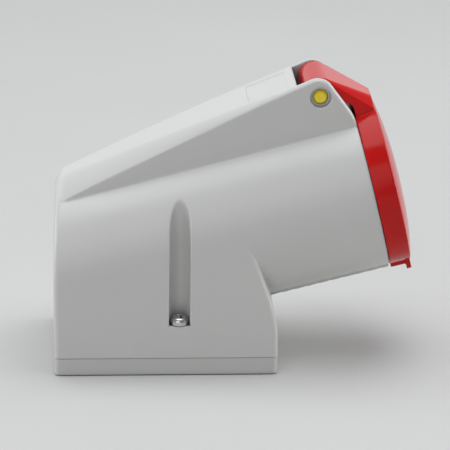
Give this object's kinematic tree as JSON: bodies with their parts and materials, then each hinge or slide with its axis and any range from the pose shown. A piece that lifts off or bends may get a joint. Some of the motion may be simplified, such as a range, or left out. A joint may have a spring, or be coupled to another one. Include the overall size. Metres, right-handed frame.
{
  "type": "industrial wall socket outlet",
  "caption": "Surface-mounted industrial power socket with an angled barrel, pin-and-sleeve contacts and a spring-shut hinged red lid.",
  "frame": {"origin": "centre of the base plate's wall face", "axes": "+Z away from the wall, +X towards the outlet mouth, symmetric about Y = 0"},
  "size_m": [0.1373, 0.0644, 0.1117],
  "materials": {
    "housing_grey": "fine satin moulded polyamide, light grey",
    "base_grey": "fine satin moulded polyamide, light grey",
    "lid_red": "smooth semi-gloss signal red",
    "pin_yellow": "smooth yellow",
    "seal_rubber": "matt black elastomer",
    "insert_black": "matt black",
    "block_grey": "matt mid grey",
    "contact_brass": "turned, bright",
    "screw_steel": "zinc plated"
  },
  "bodies": {
    "outlet": {"housing": "housing_grey", "base_plate": "base_grey", "base_gasket": "seal_rubber", "housing_screw_near": "screw_steel", "housing_screw_far": "screw_steel", "cable_grommet": "seal_rubber", "contact_carrier": "insert_black", "terminal_block": "block_grey", "carrier_screw_near": "screw_steel", "carrier_screw_far": "screw_steel", "hinge_pin": "pin_yellow", "lid_spring": "screw_steel", "contact_earth": "contact_brass", "terminal_screw_earth": "screw_steel", "contact_neutral": "contact_brass", "terminal_screw_neutral": "screw_steel", "contact_line_1": "contact_brass", "terminal_screw_line_1": "screw_steel", "contact_line_2": "contact_brass", "terminal_screw_line_2": "screw_steel", "contact_line_3": "contact_brass", "terminal_screw_line_3": "screw_steel"},
    "lid": {"lid": "lid_red", "lid_gasket": "seal_rubber"}
  },
  "joints": [
    {"name": "lid_hinge", "type": "hinge", "parent": "outlet", "child": "lid", "pos_m": [0.05775, 0, 0.10442], "axis": [0, -1, 0], "range_deg": [0, 120], "stiffness_Nm_per_rad": 0.02, "springref_deg": -57.3, "deforming": ["lid_spring"]}
  ]
}
